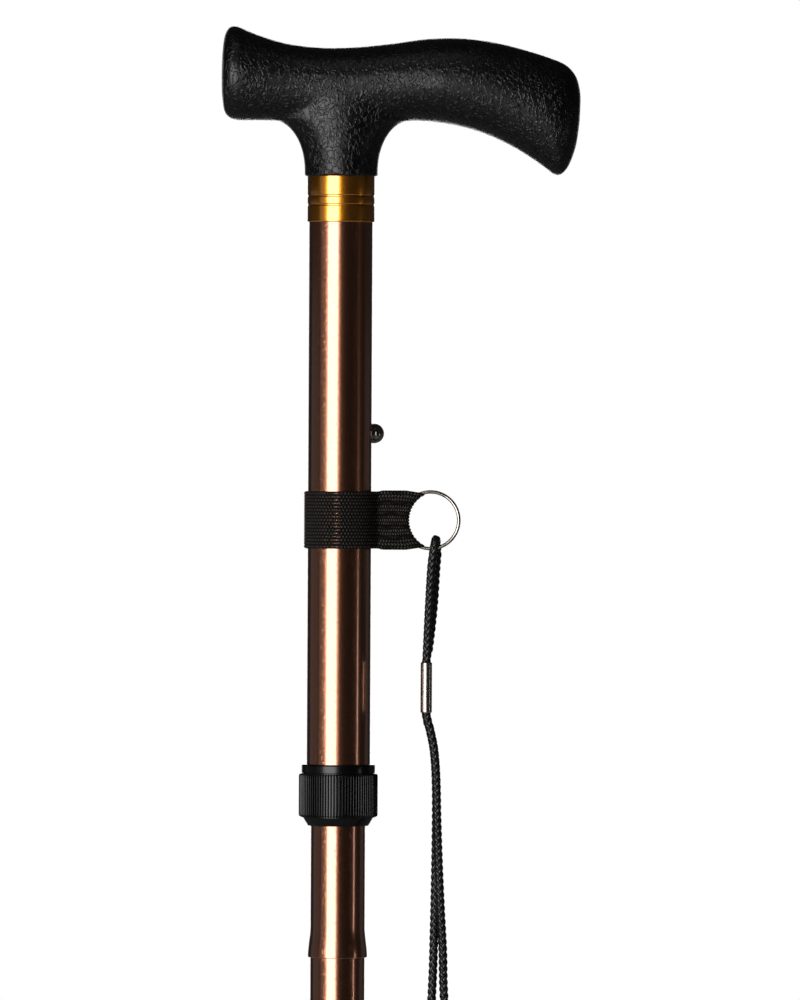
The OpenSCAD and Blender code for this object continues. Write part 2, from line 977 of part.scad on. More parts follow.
module wrist_cord() {
    path = smooth(cord_route, cord_steps);
    color(black_web) {
        translate([ring_x, 0, strap_z]) {
            skin([
                for (i = [0 : len(path) - 1])
                    let (
                        along = unit(pick(path, i + 1) - pick(path, i - 1)),
                        out = unit(cross(along, cord_side_dir)),
                        side = cross(along, out)
                    )
                    [for (k = [0 : cord_sides - 1])
                        let (a = 360 * k / cord_sides)
                        path[i] + cord_r * (out * cos(a) + side * sin(a))]
            ]);
        }
    }
}

module ferrule_oval(r) {
    square([2 * r, 2 * lane], center = true);
    translate([0, lane]) {
        circle(r = r);
    }
    translate([0, -lane]) {
        circle(r = r);
    }
}

module cord_ferrule() {
    bore_r = cord_r + press_gap;
    color(nickel) {
        translate([ring_x + ferrule_x, 0, strap_z + ferrule_top - ferrule_len]) {
            difference() {
                linear_extrude(height = ferrule_len) {
                    ferrule_oval(bore_r + ferrule_wall);
                }
                translate([0, 0, -cut]) {
                    linear_extrude(height = ferrule_len + 2 * cut) {
                        ferrule_oval(bore_r);
                    }
                }
            }
        }
    }
}

handle();
gold_collar();
upper_tube();
lock_bush();
clamp_ring();
lock_nut();
inner_tube();
tube_glide();
snap_button();
button_spring();
cord_anchor();
elastic_cord();
section_2_tube();
section_2_insert();
section_3_tube();
section_3_insert();
section_4_tube();
section_4_insert();
cord_end_plug();
rubber_tip();
tip_washer();
strap_band();
strap_tab();
split_ring();
wrist_cord();
cord_ferrule();
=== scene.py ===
import math

import bpy
from mathutils import Matrix, Vector


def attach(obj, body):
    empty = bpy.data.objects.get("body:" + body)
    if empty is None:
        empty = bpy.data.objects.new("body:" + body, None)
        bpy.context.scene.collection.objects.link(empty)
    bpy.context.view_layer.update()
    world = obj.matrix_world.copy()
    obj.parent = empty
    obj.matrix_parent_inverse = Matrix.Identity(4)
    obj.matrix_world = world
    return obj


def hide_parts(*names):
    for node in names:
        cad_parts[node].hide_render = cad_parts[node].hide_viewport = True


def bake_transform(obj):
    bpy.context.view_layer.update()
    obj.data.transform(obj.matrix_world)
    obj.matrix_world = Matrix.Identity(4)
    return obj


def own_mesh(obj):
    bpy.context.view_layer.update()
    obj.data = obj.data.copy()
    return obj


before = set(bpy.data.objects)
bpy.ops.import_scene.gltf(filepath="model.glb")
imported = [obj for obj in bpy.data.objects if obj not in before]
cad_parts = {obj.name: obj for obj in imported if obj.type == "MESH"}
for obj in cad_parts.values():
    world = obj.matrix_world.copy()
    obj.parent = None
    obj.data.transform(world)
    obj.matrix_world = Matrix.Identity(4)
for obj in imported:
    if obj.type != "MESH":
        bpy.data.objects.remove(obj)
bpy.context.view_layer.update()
print("frame loaded:", len(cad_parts), "nodes")

mm = 0.001
mergeGap = 0.002 * mm
arcSteps = 12
# in millimetres, a radius for points on the axis
onAxis = 0.001
# heights along the shaft and radii from its axis, in millimetres, as the CAD has them
levels = {"foot": 9.5, "jointFour": 179.5, "jointThree": 349.5, "jointTwo": 519.5, "nut": 565.3,
          "nutGrip": 568.2, "flange": 583.7, "flangeTop": 586.7, "strap": 671.7, "button": 701.8,
          "gold": 775.2, "handle": 791.2}
radii = {"upper": 11.1, "upperBore": 9.7, "lower": 9.5, "lowerBore": 8.5, "bell": 10.4, "bellBore": 9.65}


# small helpers for modelling
def setActive(piece):
    for other in bpy.context.selected_objects:
        other.select_set(False)
    piece.select_set(True)
    bpy.context.view_layer.objects.active = piece


def openEdit(piece):
    setActive(piece)
    bpy.ops.object.mode_set(mode="EDIT")
    bpy.ops.mesh.select_all(action="SELECT")


def closeEdit(piece, crease=35):
    bpy.ops.mesh.select_all(action="SELECT")
    bpy.ops.mesh.remove_doubles(threshold=mergeGap)
    bpy.ops.mesh.normals_make_consistent(inside=False)
    bpy.ops.object.mode_set(mode="OBJECT")
    bpy.ops.object.shade_smooth_by_angle(angle=math.radians(crease))
    return piece


def cleaned(piece, crease):
    openEdit(piece)
    return closeEdit(piece, crease)


def addObject(name, data):
    thing = bpy.data.objects.new(name, data)
    bpy.context.collection.objects.link(thing)
    return thing


def newPiece(name, points, edges=(), faces=()):
    mesh = bpy.data.meshes.new(name)
    mesh.from_pydata([tuple(c * mm for c in p) for p in points], list(edges), list(faces))
    return addObject(name, mesh)


# faces between rows of points; closed joins a row's end to its start, looped the last row to the first
def gridFaces(rows, width, closed=False, looped=False):
    faces = []
    for i in range(rows if looped else rows - 1):
        here, there = i * width, (i + 1) % rows * width
        for k in range(width if closed else width - 1):
            beside = (k + 1) % width
            faces.append((here + k, here + beside, there + beside, there + k))
    return faces


def applyModifier(piece, kind, **values):
    setActive(piece)
    modifier = piece.modifiers.new(kind.lower(), kind)
    for key, value in values.items():
        setattr(modifier, key, value)
    bpy.ops.object.modifier_apply(modifier=modifier.name)


def joinPieces(pieces):
    setActive(pieces[0])
    for piece in pieces:
        piece.select_set(True)
    bpy.ops.object.join()
    return bpy.context.view_layer.objects.active


def setMaterial(piece, material):
    piece.data.materials.clear()
    piece.data.materials.append(material)


# a blended piece has no body of its own
def finishPiece(piece, body, slot, material, *nodes):
    setMaterial(piece, material)
    if body:
        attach(piece, body)
    if nodes:
        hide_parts(*nodes)
    return piece


# corners given a third number are rounded to that radius, over less than half of each side
def rounded(corners, parts=5, mostShare=0.49):
    count = len(corners)
    result = []
    for i, corner in enumerate(corners):
        here = Vector(corner[:2])
        radius = corner[2] if len(corner) > 2 else 0
        if not radius:
            result.append(tuple(here))
            continue
        before = Vector(corners[i - 1][:2]) - here
        after = Vector(corners[(i + 1) % count][:2]) - here
        half = before.angle(after) / 2
        reach = min(radius / math.tan(half), before.length * mostShare, after.length * mostShare)
        start = here + before.normalized() * reach
        end = here + after.normalized() * reach
        for k in range(parts + 1):
            t = k / parts
            result.append(tuple(start * (1 - t) ** 2 + here * 2 * t * (1 - t) + end * t ** 2))
    return result


# a closed outline of radius and height, spun round the shaft's axis
def lathe(name, outline, steps=128, crease=35):
    count = len(outline)
    piece = newPiece(name, [(r, 0, z) for r, z in outline], [(i, (i + 1) % count) for i in range(count)])
    openEdit(piece)
    bpy.ops.mesh.spin(steps=steps, angle=math.tau, center=(0, 0, 0), axis=(0, 0, 1))
    return closeEdit(piece, crease)


# a smooth curve from b to c, with a and d as the points beside them
def between(a, b, c, d, t):
    square, cube = 2 * a - 5 * b + 4 * c - d, 3 * b - a - 3 * c + d
    return 0.5 * (2 * b + (c - a) * t + square * t ** 2 + cube * t ** 3)


def smoothLine(points, steps):
    points = [Vector(p) for p in points]
    last = len(points) - 1
    result = []
    for i in range(last):
        for s in range(steps):
            before, after = points[max(i - 1, 0)], points[min(i + 2, last)]
            result.append(between(before, points[i], points[i + 1], after, s / steps))
    return result + [points[last]]


# materials
def linear(hexColour):
    channels = [int(hexColour[i:i + 2], 16) / 255 for i in (1, 3, 5)]
    return tuple(c / 12.92 if c <= 0.04045 else ((c + 0.055) / 1.055) ** 2.4 for c in channels) + (1,)


def addNode(tree, kind, **values):
    node = tree.nodes.new("ShaderNode" + kind)
    for key, value in values.items():
        if key == "second":
            node.inputs[1].default_value = value
        elif hasattr(node, key):
            setattr(node, key, value)
        else:
            node.inputs[key.replace("_", " ")].default_value = value
    return node


def newMaterial(name, colour, roughness, metallic=0, **sockets):
    material = bpy.data.materials.new(name)
    material.use_nodes = True
    tree = material.node_tree
    shader = tree.nodes["Principled BSDF"]
    shader.inputs["Base Color"].default_value = linear(colour)
    shader.inputs["Roughness"].default_value = roughness
    shader.inputs["Metallic"].default_value = metallic
    for key, value in sockets.items():
        shader.inputs[key.replace("_", " ")].default_value = value
    return material, tree, shader


def link(source, output, target, socket):
    source.id_data.links.new(source.outputs[output], target.inputs[socket])


def addBump(shader, source, output, strength, depth):
    bump = addNode(shader.id_data, "Bump", Strength=strength, Distance=depth)
    link(source, output, bump, "Height")
    link(bump, "Normal", shader, "Normal")


def addNoise(tree, **values):
    noise = addNode(tree, "TexNoise", **values)
    link(addNode(tree, "TexCoord"), "Object", noise, "Vector")
    return noise


def roughen(shader, source, output, low, high):
    wear = addNode(shader.id_data, "MapRange", To_Min=low, To_Max=high)
    link(source, output, wear, "Value")
    link(wear, "Result", shader, "Roughness")


def tint(shader, source, output, low, high, lowAt=0.3, highAt=0.7):
    ramp = addNode(shader.id_data, "ValToRGB")
    ramp.color_ramp.elements[0].position = lowAt
    ramp.color_ramp.elements[1].position = highAt
    ramp.color_ramp.elements[0].color = linear(low)
    ramp.color_ramp.elements[1].color = linear(high)
    link(source, output, ramp, "Fac")
    link(ramp, "Color", shader, "Base Color")


# bronze anodised aluminium under a clear coat: a few of the small flakes tip their own way
flakes = {"perMetre": 4600, "rare": 0.9, "lean": 0.3, "grainPerMetre": 900}


def bronzeMetal():
    material, tree, shader = newMaterial("bronze anodised aluminium", "#a06444", 0.22, 1,
                                         Coat_Weight=1, Coat_Roughness=0.12, Coat_IOR=1.75)
    flake = addNode(tree, "TexVoronoi", Scale=flakes["perMetre"])
    grain = addNoise(tree, Scale=flakes["grainPerMetre"], Detail=3)
    lean = addNode(tree, "VectorMath", operation="SUBTRACT", second=(0.5, 0.5, 0.5))
    part = addNode(tree, "SeparateColor")
    rare = addNode(tree, "Math", operation="GREATER_THAN", second=flakes["rare"])
    amount = addNode(tree, "Math", operation="MULTIPLY", second=flakes["lean"])
    tip = addNode(tree, "VectorMath", operation="SCALE")
    total = addNode(tree, "VectorMath", operation="ADD")
    unit = addNode(tree, "VectorMath", operation="NORMALIZE")
    surface = addNode(tree, "NewGeometry")
    link(addNode(tree, "TexCoord"), "Object", flake, "Vector")
    link(flake, "Color", lean, 0)
    link(flake, "Color", part, "Color")
    link(part, "Red", rare, 0)
    link(lean, "Vector", tip, 0)
    link(rare, "Value", amount, 0)
    link(amount, "Value", tip, "Scale")
    link(surface, "Normal", total, 0)
    link(tip, "Vector", total, 1)
    link(total, "Vector", unit, 0)
    link(unit, "Vector", shader, "Normal")
    tint(shader, grain, "Fac", "#985d3e", "#a86a4a")
    return material


# gold anodised aluminium under a clear coat, with fine lines from the lathe
def goldMetal():
    material, tree, shader = newMaterial("gold anodised aluminium", "#e8901c", 0.25, 1,
                                         Coat_Weight=1, Coat_Roughness=0.05, Coat_IOR=1.7)
    turned = addNode(tree, "TexNoise", Scale=1, Detail=4)
    stretch = addNode(tree, "Mapping", Scale=(60, 60, 9000))
    link(addNode(tree, "TexCoord"), "Object", stretch, "Vector")
    link(stretch, "Vector", turned, "Vector")
    tint(shader, turned, "Fac", "#e28a16", "#ee9a24")
    addBump(shader, turned, "Fac", 0.08, 0.01 * mm)
    return material


# moulded black plastic: winding raised wrinkles on a satin ground, and a line round the back end
wrinkles = {"perMetre": 720, "wind": 0.6, "tall": 0.6, "share": 0.09, "finePerMetre": 3000,
            "fineShare": 0.2, "depth": 0.17 * mm, "lineAt": -36.6 * mm, "lineHalf": 0.3 * mm}


def leatherPlastic():
    material, tree, shader = newMaterial("leather-grained black plastic", "#060606", 0.3, 0,
                                         Specular_IOR_Level=0.31)
    place = addNode(tree, "TexCoord")
    stretch = addNode(tree, "Mapping", Scale=(1, 1, wrinkles["tall"]))
    wander = addNode(tree, "TexNoise", Scale=wrinkles["perMetre"], Detail=1,
                     Distortion=wrinkles["wind"])
    offset = addNode(tree, "Math", operation="SUBTRACT", second=0.5)
    apart = addNode(tree, "Math", operation="ABSOLUTE")
    ridge = addNode(tree, "MapRange", interpolation_type="SMOOTHSTEP",
                    From_Min=0, From_Max=wrinkles["share"], To_Min=1, To_Max=0)
    fine = addNoise(tree, Scale=wrinkles["finePerMetre"], Detail=3)
    total = addNode(tree, "Math", operation="MULTIPLY_ADD", second=wrinkles["fineShare"])
    split = addNode(tree, "SeparateXYZ")
    line = addNode(tree, "Math", operation="COMPARE", second=wrinkles["lineAt"])
    line.inputs[2].default_value = wrinkles["lineHalf"]
    lined = addNode(tree, "Math", operation="ADD")
    link(place, "Object", split, "Vector")
    link(split, "X", line, 0)
    link(line, "Value", lined, 0)
    link(total, "Value", lined, 1)
    link(place, "Object", stretch, "Vector")
    link(stretch, "Vector", wander, "Vector")
    link(wander, "Fac", offset, 0)
    link(offset, "Value", apart, 0)
    link(apart, "Value", ridge, "Value")
    link(fine, "Fac", total, 0)
    link(ridge, "Result", total, 2)
    roughen(shader, ridge, "Result", 0.3, 0.23)
    # painted highlight: the raised wrinkles are painted a little lighter than the ground
    tint(shader, ridge, "Result", "#040404", "#0b0b0b", 0, 1)
    addBump(shader, lined, "Value", 0.62, wrinkles["depth"])
    return material


# plastic and rubber with a fine speckle; wearing is how far the roughness strays
def speckled(name, colour, roughness, scale, depth, gloss=0.5, wearing=0.1):
    material, tree, shader = newMaterial(name, colour, roughness, 0, Specular_IOR_Level=gloss)
    speck = addNoise(tree, Scale=scale, Detail=4, Roughness=0.6)
    addBump(shader, speck, "Fac", 0.35, depth)
    roughen(shader, speck, "Fac", roughness - wearing, roughness + wearing)
    return material


# bare or plated metal, a little scuffed
def brightMetal(name, low, high, roughness):
    material, tree, shader = newMaterial(name, low, roughness, 1)
    scuff = addNoise(tree, Scale=500, Detail=5)
    roughen(shader, scuff, "Fac", roughness - 0.05, roughness + 0.07)
    tint(shader, scuff, "Fac", low, high)
    addBump(shader, scuff, "Fac", 0.02, 0.01 * mm)
    return material


# black yarn: fine fibres along each strand
def yarn(name, colour, light, roughness, scale, fuzz=0.5):
    material, tree, shader = newMaterial(name, colour, roughness, 0,
                                         Sheen_Weight=0.015, Sheen_Roughness=0.4)
    fibre = addNoise(tree, Scale=scale, Detail=4, Roughness=0.7)
    tint(shader, fibre, "Fac", colour, light, 0.35, 0.75)
    addBump(shader, fibre, "Fac", fuzz, 0.06 * mm)
    return material


# painted shade: the gaps between the stitches are painted near-black, so only the tops of the stitches show
# their colour; the gaps are also made rough
def paintKnitShade(material):
    tree = material.node_tree
    shader = tree.nodes["Principled BSDF"]
    shader.inputs["Specular IOR Level"].default_value = 0.14
    relief = addNode(tree, "Attribute", attribute_name="relief")
    top = addNode(tree, "MapRange", interpolation_type="SMOOTHSTEP",
                  From_Min=0.35, From_Max=0.9, To_Min=0.02, To_Max=1)
    # the painted shade, near-black, mixed in where the relief is low
    deep = addNode(tree, "MixRGB", Color1=linear("#010101"))
    link(relief, "Fac", top, "Value")
    link(top, "Result", deep, "Fac")
    tree.links.new(shader.inputs["Base Color"].links[0].from_socket, deep.inputs["Color2"])
    link(deep, "Color", shader, "Base Color")
    roughen(shader, top, "Result", 1, shader.inputs["Roughness"].default_value)
    return material


# the knit is open at a dot between each pair of stitches and rows
def openKnit(material, dot=0.18):
    tree = material.node_tree
    shader = tree.nodes["Principled BSDF"]
    place = addNode(tree, "UVMap", uv_map="weave")
    lattice = addNode(tree, "VectorMath", operation="FRACTION")
    centred = addNode(tree, "VectorMath", operation="DISTANCE", second=(0.5, 0.5, 0))
    solid = addNode(tree, "Math", operation="GREATER_THAN", second=dot)
    link(place, "UV", lattice, 0)
    link(lattice, "Vector", centred, 0)
    link(centred, "Value", solid, 0)
    link(solid, "Value", shader, "Alpha")
    return material


bronze = bronzeMetal()
gold = goldMetal()
leather = leatherPlastic()
nutPlastic = speckled("black nylon", "#050505", 0.22, 300, 0.01 * mm, gloss=0.3, wearing=0.03)
rubber = speckled("black rubber", "#1b1b1b", 0.62, 1300, 0.08 * mm)
greyPlastic = speckled("grey acetal", "#8d8d8c", 0.45, 1800, 0.03 * mm)
nickel = brightMetal("polished nickel", "#a0978f", "#b3aba4", 0.2)
gunmetal = brightMetal("dark steel", "#8b857c", "#9d978e", 0.15)
bareMetal = brightMetal("bare aluminium", "#c3c3c4", "#d6d6d7", 0.3)
webbing = openKnit(paintKnitShade(yarn("black elastic webbing", "#201e1b", "#554f48", 0.42, 3200)))
# painted light: the tab's webbing is the band's webbing in lighter colours, for the light that the puffed tab
# catches
tabWebbingPaintedLighter = paintKnitShade(yarn("black elastic webbing, doubled, painted lighter", "#332f2a", "#6a625a", 0.42, 3200))
cordYarn = yarn("black polyester braid", "#050404", "#12100e", 0.36, 4200, fuzz=0.2)
print("materials made")

# tubes, with the holes that the button snaps into
holes = {"count": 7, "pitch": 15, "radius": 3.7, "turn": 20, "sides": 48, "depth": 14, "upperAt": 12,
         "innerAt": 10}
shaft = {"low": 577.6, "high": 823.1, "rows": 50, "above": 20}
bell = {"edge": 0.2, "flare": 10.5, "flareSteps": 16, "seat": 2.5, "ledge": 0.15, "taper": 5.2,
        "taperSteps": 8}


# a pin to cut one hole with, its middle a given way out from the axis
def holeCutter(height, away):
    turn = math.radians(holes["turn"])
    bpy.ops.mesh.primitive_cylinder_add(vertices=holes["sides"], radius=holes["radius"] * mm,
                                        depth=holes["depth"] * mm)
    cutter = bpy.context.object
    spot = Matrix.Translation((math.cos(turn) * away * mm, math.sin(turn) * away * mm, height * mm))
    cutter.matrix_world = spot @ Matrix.Rotation(turn, 4, "Z") @ Matrix.Rotation(math.radians(90), 4, "Y")
    return cutter


def cutTube(tube, cutter, crease=35):
    applyModifier(tube, "BOOLEAN", object=cutter, operation="DIFFERENCE", solver="EXACT")
    bpy.data.objects.remove(cutter)
    cleaned(tube, crease)


def upperTube():
    low, high, rows = shaft["low"], shaft["high"], shaft["rows"]
    outer = [(radii["upper"], low + (high - low) * k / rows) for k in range(rows + 1)]
    inner = [(radii["upperBore"], z) for r, z in reversed(outer)]
    tube = lathe("upperTube", outer + inner)
    heights = [levels["button"] - k * holes["pitch"] for k in range(holes["count"])]
    cutter = joinPieces([holeCutter(height, holes["upperAt"]) for height in heights])
    bpy.ops.object.transform_apply()
    cutTube(tube, cutter)
    finishPiece(tube, "upper", "bronze_metal", bronze, "upper_tube")


# a lower tube from its belled mouth up
def belledTube(name, low, high):
    wide, narrow = radii["bell"], radii["lower"]
    outer = [(wide - bell["edge"], low), (wide, low + bell["edge"])]
    for k in range(1, bell["flareSteps"] + 1):
        t = k / bell["flareSteps"]
        ease = (1 - t) ** 2 * (1 + 2 * t)
        outer.append((narrow + (wide - narrow) * ease, low + bell["edge"] + bell["flare"] * t))
    outer.append((narrow, high))
    wide, narrow = radii["bellBore"], radii["lowerBore"]
    ledge = low + bell["seat"] + bell["ledge"]
    inner = [(wide, low), (wide, ledge)]
    for k in range(1, bell["taperSteps"] + 1):
        t = k / bell["taperSteps"]
        ease = 1 - t * t * (3 - 2 * t)
        inner.append((narrow + (wide - narrow) * ease, ledge + bell["taper"] * t))
    inner.append((narrow, high))
    return lathe(name, outer + inner[::-1], crease=40)


def plainTube(name, low, high):
    outer, bore = radii["lower"], radii["lowerBore"]
    return lathe(name, [(outer, low), (outer, high), (bore, high), (bore, low)])


def innerTube():
    tube = belledTube("innerTube", levels["jointTwo"], levels["button"] + shaft["above"])
    cutTube(tube, holeCutter(levels["button"], holes["innerAt"]), 40)
    finishPiece(tube, "inner", "bronze_metal", bronze, "inner_tube")


# sections by body: the node, the piece, its maker and the levels that it runs between
sections = {"section_2": ("section_2_tube", "sectionTwoTube", belledTube, "jointThree", "jointTwo"),
            "section_3": ("section_3_tube", "sectionThreeTube", belledTube, "jointFour", "jointThree"),
            "section_4": ("section_4_tube", "sectionFourTube", plainTube, "foot", "jointFour")}

upperTube()
for body, (node, name, makeTube, bottom, top) in sections.items():
    tube = makeTube(name, levels[bottom], levels[top] + bell["seat"])
    finishPiece(tube, body, "bronze_metal", bronze, node)
innerTube()
print("tubes made")

# gold collar with two turned lines and a light lower lip
collar = {"outer": 11.75, "bore": 11.15, "lines": (781.2, 784.3), "lineHalf": 0.45, "lineDepth": 0.22,
          "floorShare": 0.4, "footInset": 0.15, "lip": 0.06, "lipAt": 0.35, "lipEnd": 1}


def goldCollar():
    low, high, outer, bore = levels["gold"], levels["handle"], collar["outer"], collar["bore"]
    half, depth = collar["lineHalf"], collar["lineDepth"]
    floorHalf = half * collar["floorShare"]
    corners = [(bore, low), (outer - collar["footInset"], low, 0.1),
               (outer + collar["lip"], low + collar["lipAt"], 0.2), (outer, low + collar["lipEnd"], 0.2)]
    for line in collar["lines"]:
        corners += [(outer, line - half, 0.15), (outer - depth, line - floorHalf, 0.12),
                    (outer - depth, line + floorHalf, 0.12), (outer, line + half, 0.15)]
    corners += [(outer, high, 0.15), (bore, high)]
    piece = lathe("goldCollar", rounded(corners, 3), steps=160, crease=50)
    finishPiece(piece, "upper", "gold_metal", gold, "gold_collar")


goldCollar()

# lock: flanged bush, and the knurled nut under it
bush = {"bore": 9.7, "low": 573.7, "lead": 11.8, "leadTop": 574.1, "outer": 12.2, "flange": 12.8,
        "mouth": 11.3, "mouthDrop": 0.4, "seat": 11.15, "seatAt": 575.7}
nut = {"outer": 13.75, "valley": 12.95, "ribs": 84, "bore": 12.35, "hole": 9.8, "headGap": 0.1,
       "core": 12.9, "neck": 10.55, "neckTop": 12.2, "neckDrop": 0.2, "shoulder": 12.35, "underLow": 0.05,
       "underHigh": 0.06, "ledge": 1, "fade": 0.6, "spare": 0.35}
# one rib across, as shares of its pitch and rise, and how far it draws in at its foot and head
ribShares = [(0, 0), (0.2, 0.02), (0.33, 0.75), (0.43, 0.98), (0.5, 1), (0.57, 0.98), (0.67, 0.75),
             (0.8, 0.02), (1, 0)]
ribFoot = [(0, -1.35), (0.05, -0.55), (0.5, -0.1), (1, 0)]
ribHead = [(0.9, 0), (0.45, -0.15), (0.05, -0.6), (0, -1.05)]


def lockBush():
    low, top, flange = bush["low"], levels["flangeTop"], levels["flange"]
    corners = [(bush["bore"], low), (bush["lead"], low, 0.3), (bush["outer"], bush["leadTop"]),
               (bush["outer"], flange), (bush["flange"], flange, 0.2), (bush["flange"], top, 0.7),
               (bush["mouth"], top, 0.2), (bush["seat"], top - bush["mouthDrop"]),
               (bush["seat"], bush["seatAt"]), (bush["bore"], bush["seatAt"])]
    piece = lathe("lockBush", rounded(corners), crease=40)
    finishPiece(piece, "upper", "nut_plastic", nutPlastic, "lock_bush")


# one rib is shaped, then turned round the axis as many times as there are ribs
def nutRibs(low, high):
    pitch, tall = math.tau / nut["ribs"], nut["outer"] - nut["valley"]
    rows = [(low + up, inset) for up, inset in ribFoot] + [((low + high) / 2, 0)]
    rows += [(high - down, inset) for down, inset in ribHead]
    points = []
    for z, inset in rows:
        for along, rise in ribShares:
            keep = max(0, 1 + inset / nut["fade"])
            radius = nut["valley"] + tall * rise * keep + min(0, inset + nut["spare"])
            angle = along * pitch
            points.append((radius * math.cos(angle), radius * math.sin(angle), z))
    ribs = newPiece("lockNut", points, [], gridFaces(len(rows), len(ribShares)))
    openEdit(ribs)
    bpy.ops.mesh.spin(steps=nut["ribs"], dupli=True, angle=math.tau, center=(0, 0, 0), axis=(0, 0, 1))
    return closeEdit(ribs, 50)


def lockNut():
    foot, low, high = levels["nut"], levels["nutGrip"], levels["flange"] - nut["headGap"]
    ribs = nutRibs(low, high)
    hole, bore, core = nut["hole"], nut["bore"], nut["core"]
    ledge, top = low + nut["ledge"], high - nut["headGap"]
    corners = [(hole, foot, 0.2), (nut["neck"], foot, 0.3), (nut["neckTop"], low - nut["neckDrop"], 0.3),
               (nut["shoulder"], low + nut["underLow"]), (core, low + nut["underHigh"]), (core, ledge),
               (core, top), (bore, top), (bore, ledge), (hole, ledge)]
    whole = joinPieces([ribs, lathe("nutCore", rounded(corners), crease=40)])
    finishPiece(whole, "nut", "nut_plastic", nutPlastic, "lock_nut")


lockBush()
lockNut()
print("collar and lock made")

# snap button: a domed pin with a groove, turned towards the back
button = {"radius": 3.5, "seat": 7.05, "collar": 4.6, "thick": 1, "groove": (11.2, 11.5, 11.9, 12.2),
          "grooveDepth": 0.25, "dome": 12.6}


def snapButton():
    radius, seat, wide = button["radius"], button["seat"], button["collar"]
    foot, neck = seat - button["thick"], radius - button["grooveDepth"]
    start, floorLow, floorHigh, end = button["groove"]
    corners = [(onAxis, foot), (wide, foot, 0.2), (wide, seat, 0.2), (radius, seat, 0.1),
               (radius, start, 0.1), (neck, floorLow, 0.1), (neck, floorHigh, 0.1), (radius, end, 0.2)]
    outline = rounded(corners, 3)
    for k in range(arcSteps + 1):
        angle = math.radians(90) * k / arcSteps
        outline.append((max(radius * math.cos(angle), onAxis), button["dome"] + radius * math.sin(angle)))
    piece = lathe("snapButton", outline, steps=64, crease=40)
    turn = Matrix.Rotation(math.radians(holes["turn"]), 4, "Z") @ Matrix.Rotation(math.radians(90), 4, "Y")
    piece.matrix_world = Matrix.Translation((0, 0, levels["button"] * mm)) @ turn
    setActive(piece)
    bpy.ops.object.transform_apply()
    finishPiece(piece, "button", "dark_steel", gunmetal, "snap_button")


# leaf spring behind the button: a strip bent back on itself, made at rest; the real one closes as the button
# is pressed
spring = {"wall": 7.85, "thick": 0.7, "half": 3, "top": 707.3, "bend": 659.8, "bendRadius": 1.65,
          "tilt": 15.1, "padX": 5.65, "padLow": 696.2, "padHigh": 706.6, "leadX": 0.1, "leadRise": 0.5,
          "edge": 0.12, "pressed": 0.52}


def buttonSpring():
    radius, bend, pad, padLow = spring["bendRadius"], spring["bend"], spring["padX"], spring["padLow"]
    back = spring["thick"] / 2 - spring["wall"]
    centre = back + radius
    line = [(back, spring["top"]), (back, bend)]
    for k in range(1, arcSteps + 1):
        angle = math.radians(180 + (180 - spring["tilt"]) * k / arcSteps)
        line.append((centre + radius * math.cos(angle), bend + radius * math.sin(angle)))
    line += [(pad - spring["leadX"], padLow - spring["leadRise"]), (pad, padLow), (pad, spring["padHigh"])]
    turn = Matrix.Rotation(math.radians(holes["turn"]), 3, "Z")
    points = [turn @ Vector((x, side * spring["half"], z)) for x, z in line for side in (-1, 1)]
    leaf = newPiece("buttonSpring", points, [], gridFaces(len(line), 2))
    applyModifier(leaf, "SOLIDIFY", thickness=spring["thick"] * mm, offset=0)
    applyModifier(leaf, "BEVEL", width=spring["edge"] * mm, segments=2, limit_method="ANGLE")
    cleaned(leaf, 40)
    finishPiece(leaf, "inner", "dark_steel", gunmetal, "button_spring")
    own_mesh(leaf)


snapButton()
buttonSpring()

# rubber tip with a beaded top and a flared, treaded foot; the wall is radius, height and rounding
tip = {"base": 18, "height": 40, "floor": 8, "bore": 9.55, "grooveShares": (0.4, 0.6, 0.8),
       "grooveHalf": 0.72, "grooveDepth": 1.2}
tipWall = [(17, 0, 0.4), (18, 1, 0.6), (18, 4, 0.8), (17, 5, 1.2), (13.5, 14, 4), (12.55, 20, 6),
           (12.55, 35, 0.5), (13.55, 36, 0.5), (13.55, 39, 0.5), (12.55, 40, 0.4)]


def rubberTip():
    half, depth, bore, floor = tip["grooveHalf"], tip["grooveDepth"], tip["bore"], tip["floor"]
    corners = [(onAxis, 0)]
    for share in tip["grooveShares"]:
        middle = tip["base"] * share
        corners += [(middle - half, 0, 0.15), (middle - half, depth, 0.2),
                    (middle + half, depth, 0.2), (middle + half, 0, 0.15)]
    corners += tipWall + [(bore, tip["height"]), (bore, floor), (onAxis, floor)]
    piece = lathe("rubberTip", rounded(corners), crease=50)
    finishPiece(piece, "section_4", "black_rubber", rubber, "rubber_tip")


rubberTip()
print("button and tip made")

# handle: rings along the grip, then rings up the stem, merged and smoothed to one moulding
grip = {"length": 125, "back": 41.8, "height": 52.4, "width": 28.4, "sides": 48, "steps": 3}
stem = {"radius": 12.7, "low": -6, "straight": 1.8, "spread": 11, "deepen": 0.15, "rise": 17.5,
        "plug": 12.8, "plugTop": 29, "sides": 64, "round": 0.7, "roundRows": (0.12, 0.36, 0.7)}
blend = {"voxel": 0.6, "low": 6, "high": 40, "fade": 8, "reach": 34, "reachFade": 10, "rounds": 340}
